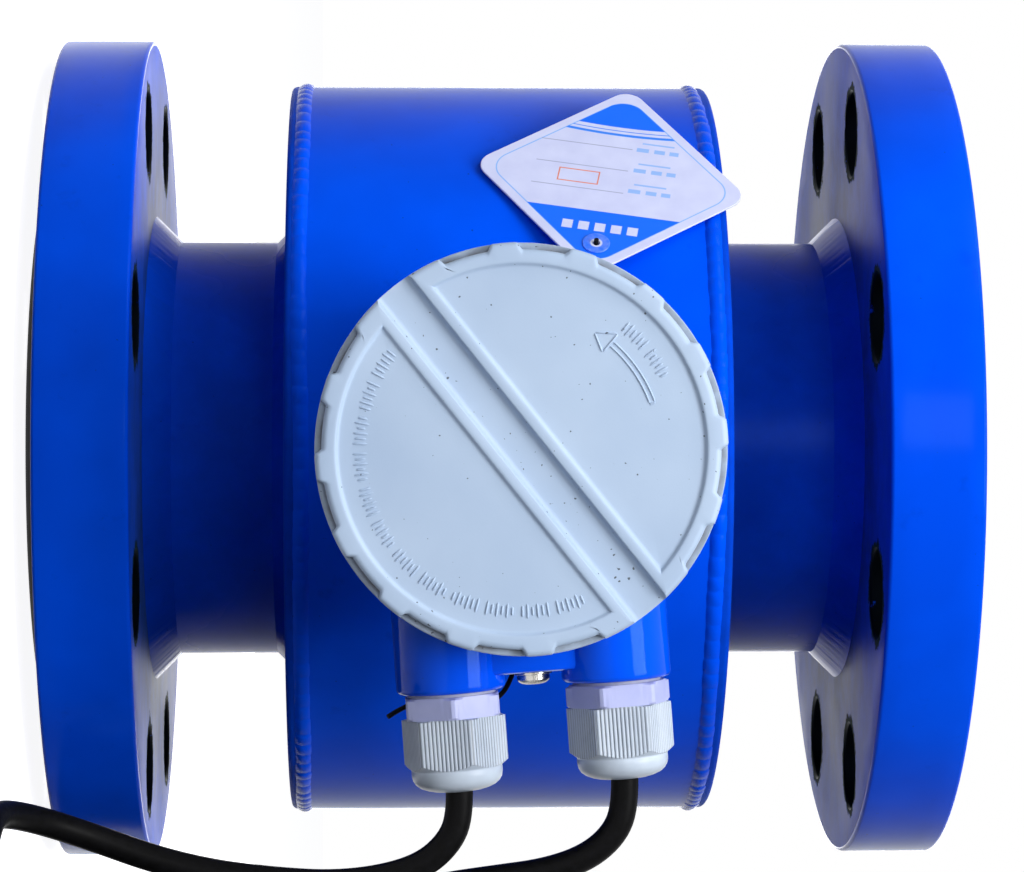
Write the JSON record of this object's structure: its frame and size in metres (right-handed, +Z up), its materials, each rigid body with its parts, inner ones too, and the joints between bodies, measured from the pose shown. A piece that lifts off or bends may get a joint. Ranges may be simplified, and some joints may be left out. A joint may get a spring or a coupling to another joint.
{
  "type": "electromagnetic flow meter",
  "caption": "Flanged electromagnetic flow meter: lined tube, coil drum, round junction box with screw cover, two cable glands with cables, and a hang tag.",
  "frame": {"origin": "centre of the flow bore at the lower sealing face", "axes": "+Z up the flow bore, the junction box faces -Y, the cable glands point to +X"},
  "size_m": [0.3423, 0.3368, 0.247],
  "materials": {
    "blue_paint": "gloss enamel on steel and cast aluminium",
    "liner_rubber": "moulded hard rubber",
    "stainless": "bright stainless steel",
    "magnet_steel": "oiled soft iron",
    "winding": "enamelled copper wire",
    "insulation": "turned insulating plastic",
    "cover_grey": "moulded light grey plastic",
    "gland_nylon": "moulded nylon, a little lilac",
    "nut_nylon": "moulded nylon, grey white",
    "seal_rubber": "black rubber",
    "cable_sheath": "black flexible sheath",
    "core_insulation": "coloured wire insulation",
    "block_plastic": "moulded terminal block",
    "tag_card": "thin glossy card",
    "eyelet_metal": "pressed eyelet",
    "tag_string": "black twisted string"
  },
  "bodies": {
    "root": {"lower_flange": "blue_paint", "upper_flange": "blue_paint", "measuring_tube": "blue_paint", "lower_flange_weld": "blue_paint", "upper_flange_weld": "blue_paint", "housing_shell": "blue_paint", "lower_end_plate": "blue_paint", "upper_end_plate": "blue_paint", "lower_seam_bead": "blue_paint", "upper_seam_bead": "blue_paint", "lower_plate_weld": "blue_paint", "upper_plate_weld": "blue_paint", "neck": "blue_paint", "neck_weld": "blue_paint", "junction_box": "blue_paint", "liner": "liner_rubber", "left_electrode": "stainless", "right_electrode": "stainless", "electrode_nuts": "stainless", "earth_screw": "stainless", "earth_washer": "stainless", "terminal_screws": "stainless", "block_screws": "stainless", "near_pole_piece": "magnet_steel", "far_pole_piece": "magnet_steel", "return_yoke": "magnet_steel", "near_coil": "winding", "far_coil": "winding", "electrode_bushes": "insulation", "lower_gland_body": "gland_nylon", "upper_gland_body": "gland_nylon", "gland_seals": "seal_rubber", "gland_washers": "seal_rubber", "lower_cable": "cable_sheath", "upper_cable": "cable_sheath", "lower_cable_coil": "cable_sheath", "upper_cable_coil": "cable_sheath", "lower_cable_end": "cable_sheath", "upper_cable_end": "cable_sheath", "lower_inner_cable": "cable_sheath", "upper_inner_cable": "cable_sheath", "lower_cable_cores": "core_insulation", "upper_cable_cores": "core_insulation", "terminal_wires": "core_insulation", "signal_leads": "core_insulation", "coil_leads": "core_insulation", "terminal_block": "block_plastic", "hang_tag": "tag_card", "tag_eyelet": "eyelet_metal", "tag_string": "tag_string"},
    "cover_gasket": {"cover_gasket": "seal_rubber"},
    "cover": {"cover": "cover_grey"},
    "lower_slip_ring": {"lower_slip_ring": "nut_nylon"},
    "lower_gland_nut": {"lower_gland_nut": "nut_nylon"},
    "upper_slip_ring": {"upper_slip_ring": "nut_nylon"},
    "upper_gland_nut": {"upper_gland_nut": "nut_nylon"}
  },
  "joints": [
    {"name": "cover_rise", "type": "slide", "parent": "root", "child": "cover_gasket", "axis": [0, -1, 0], "range_m": [0, 0.011]},
    {"name": "cover_turn", "type": "hinge", "parent": "cover_gasket", "child": "cover", "pos_m": [0, -0.17, 0.1235], "axis": [0, -1, 0], "range_deg": [0, 1980]},
    {"name": "lower_nut_slide", "type": "slide", "parent": "root", "child": "lower_slip_ring", "axis": [0.9973, 0, 0.0732], "range_m": [0, 0.003]},
    {"name": "lower_nut_turn", "type": "hinge", "parent": "lower_slip_ring", "child": "lower_gland_nut", "pos_m": [0.07125, -0.1477, 0.10903], "axis": [0.9973, 0, 0.0732], "range_deg": [0, 720]},
    {"name": "upper_nut_slide", "type": "slide", "parent": "root", "child": "upper_slip_ring", "axis": [0.9973, 0, 0.0732], "range_m": [0, 0.003]},
    {"name": "upper_nut_turn", "type": "hinge", "parent": "upper_slip_ring", "child": "upper_gland_nut", "pos_m": [0.06837, -0.1477, 0.14822], "axis": [0.9973, 0, 0.0732], "range_deg": [0, 720]}
  ],
  "couplings": [
    {"joint": "cover_rise", "follows": "cover_turn", "m_per_rad": 0.0003183},
    {"joint": "lower_nut_slide", "follows": "lower_nut_turn", "m_per_rad": 0.0002387},
    {"joint": "upper_nut_slide", "follows": "upper_nut_turn", "m_per_rad": 0.0002387}
  ]
}
